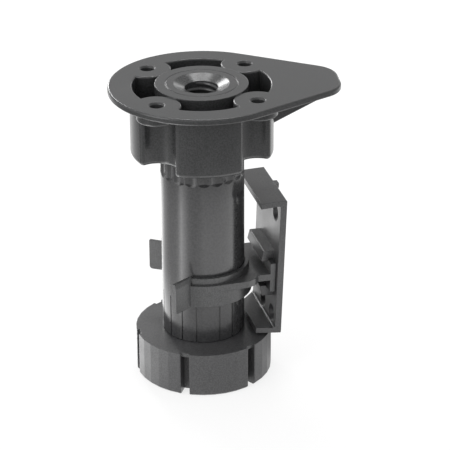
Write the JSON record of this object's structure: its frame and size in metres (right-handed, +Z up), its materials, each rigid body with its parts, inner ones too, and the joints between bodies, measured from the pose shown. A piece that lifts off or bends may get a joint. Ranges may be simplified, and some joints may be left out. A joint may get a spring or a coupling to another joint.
{
  "type": "adjustable cabinet leg",
  "caption": "Plastic plinth leg with a teardrop screw-on plate, round tube, screw-adjusted foot, and a swivelling clip that carries a plinth bracket.",
  "frame": {"origin": "centre of the foot's underside, on the floor", "axes": "+Z up along the tube, +X towards the plinth board that the bracket carries"},
  "size_m": [0.0993, 0.08, 0.1355],
  "materials": {
    "plate_plastic": "satin moulded",
    "tube_plastic": "glossy moulded",
    "stem_plastic": "satin moulded",
    "foot_plastic": "satin moulded",
    "clip_plastic": "satin moulded",
    "bracket_plastic": "satin moulded"
  },
  "bodies": {
    "leg": {"mounting_plate": "plate_plastic", "leg_tube": "tube_plastic"},
    "stem": {"threaded_stem": "stem_plastic"},
    "foot": {"foot_base": "foot_plastic"},
    "clip": {"plinth_clip": "clip_plastic"},
    "bracket": {"plinth_bracket": "bracket_plastic"}
  },
  "joints": [
    {"name": "foot_height", "type": "slide", "parent": "leg", "child": "stem", "axis": [0, 0, -1], "range_m": [0, 0.03]},
    {"name": "foot_turn", "type": "hinge", "parent": "stem", "child": "foot", "pos_m": [0, 0, 0], "axis": [0, 0, -1], "range_deg": [0, 2700]},
    {"name": "clip_swivel", "type": "hinge", "parent": "leg", "child": "clip", "pos_m": [0, 0, 0.046], "axis": [0, 0, 1], "continuous": true},
    {"name": "bracket_slide", "type": "slide", "parent": "clip", "child": "bracket", "axis": [0, 1, 0], "range_m": [-0.01, 0.01]}
  ],
  "couplings": [
    {"joint": "foot_height", "follows": "foot_turn", "m_per_rad": 0.00063662}
  ]
}
